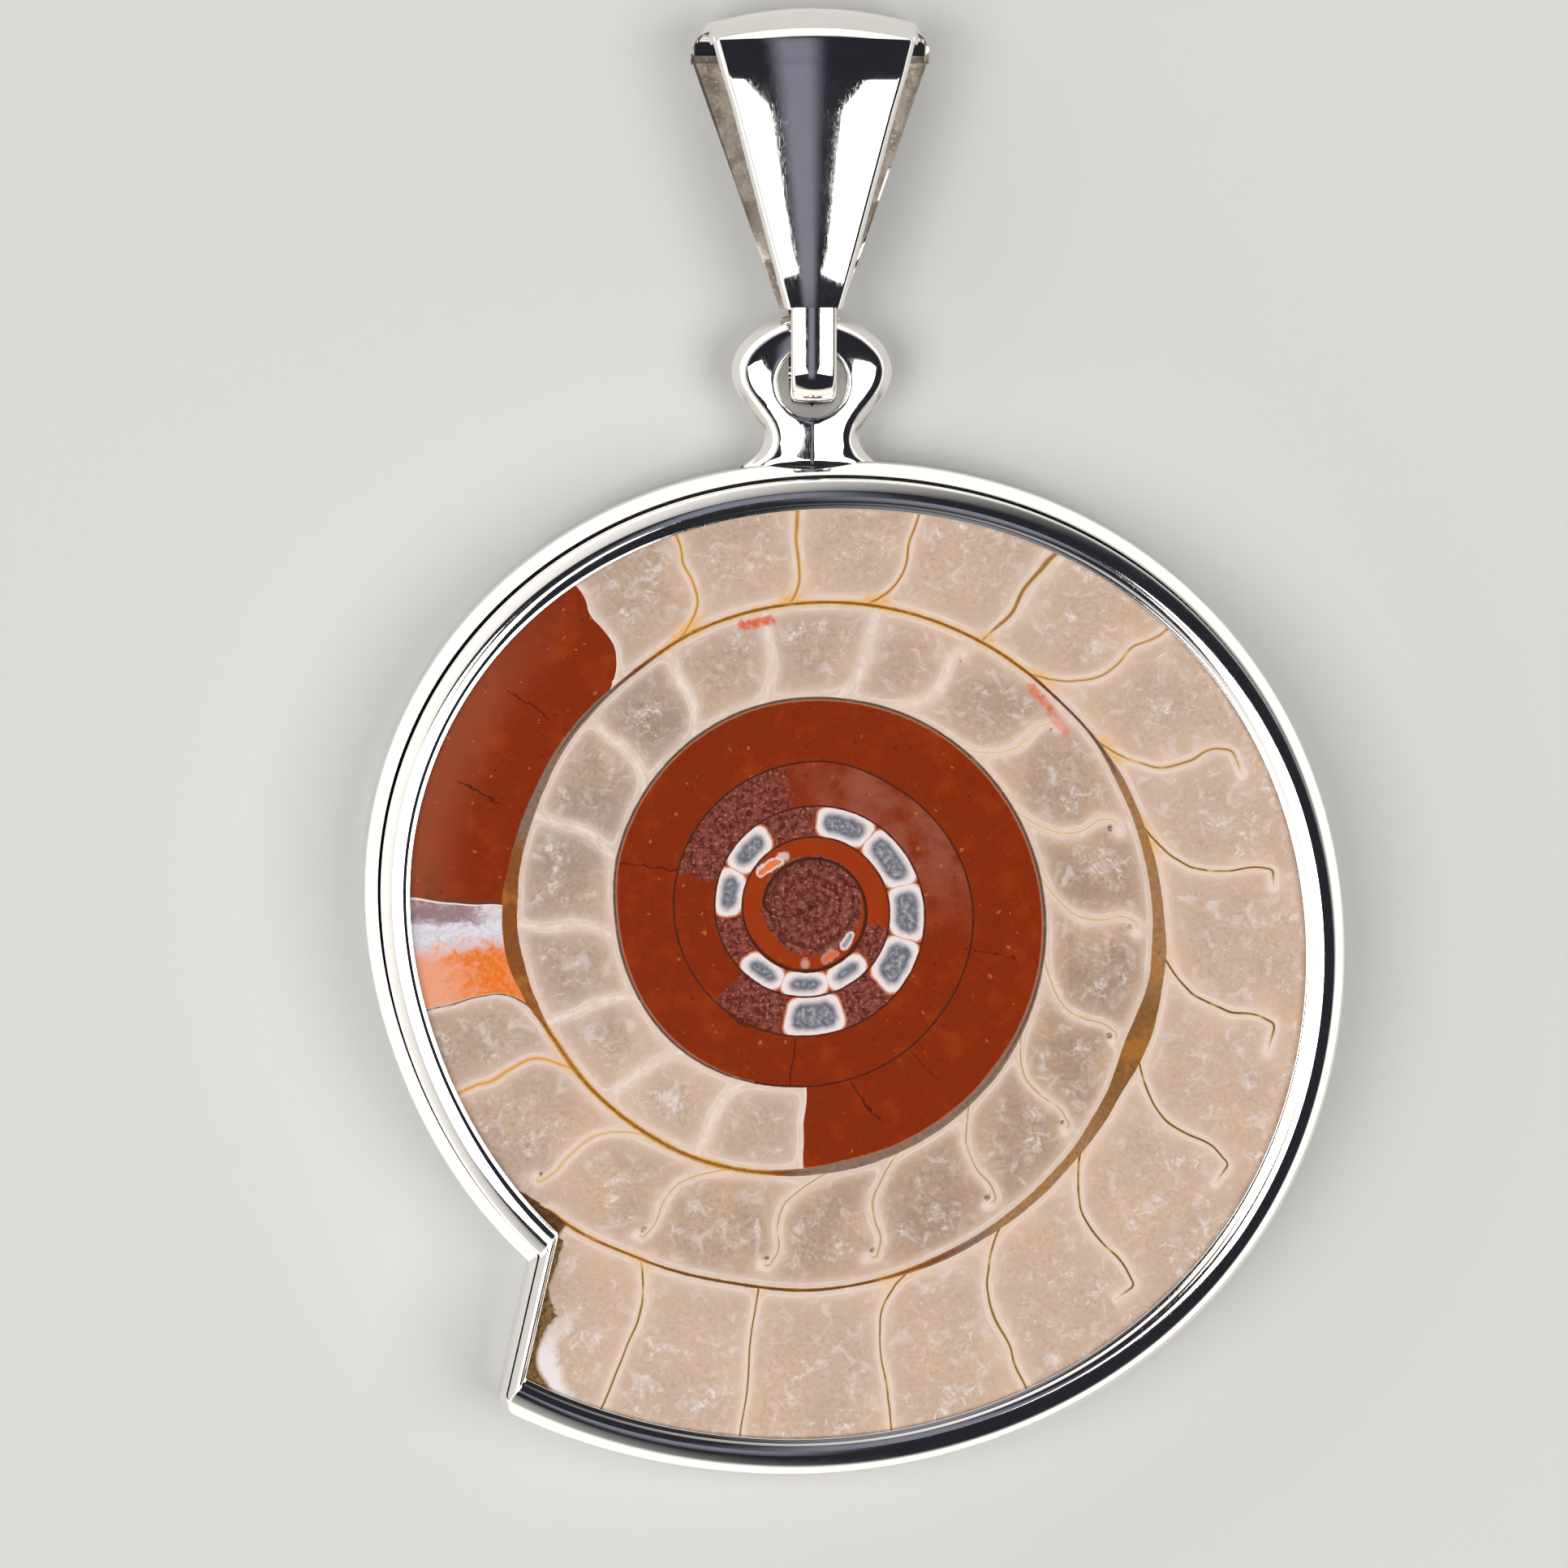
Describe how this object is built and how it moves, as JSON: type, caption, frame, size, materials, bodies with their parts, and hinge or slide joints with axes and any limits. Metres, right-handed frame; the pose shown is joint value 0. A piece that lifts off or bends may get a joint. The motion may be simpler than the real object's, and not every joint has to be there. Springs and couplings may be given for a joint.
{
  "type": "ammonite fossil half in a pendant setting",
  "caption": "Polished ammonite half with chambers in a silver bezel setting, with a pear-shaped eye and a swinging bail.",
  "frame": {"origin": "centre of the bounding box at the setting's back edge, where the pendant lies on its back", "axes": "+Z out of the polished face, +Y towards the bail, +X to the right of the face"},
  "size_m": [0.0346, 0.0518, 0.005],
  "materials": {
    "stone": "polished calcite and agate in the shell's chambers",
    "silver": "polished silver with fine scratches"
  },
  "bodies": {
    "pendant": {"frame": "silver", "bezel": "silver", "ammonite_half": "stone"},
    "bail": {"bail": "silver", "bail_link": "silver"}
  },
  "joints": [
    {"name": "bail_swing", "type": "hinge", "parent": "pendant", "child": "bail", "pos_m": [-0.00153, 0.0144, 0.00242], "axis": [1, 0, 0], "range_deg": [-105, 105]}
  ]
}
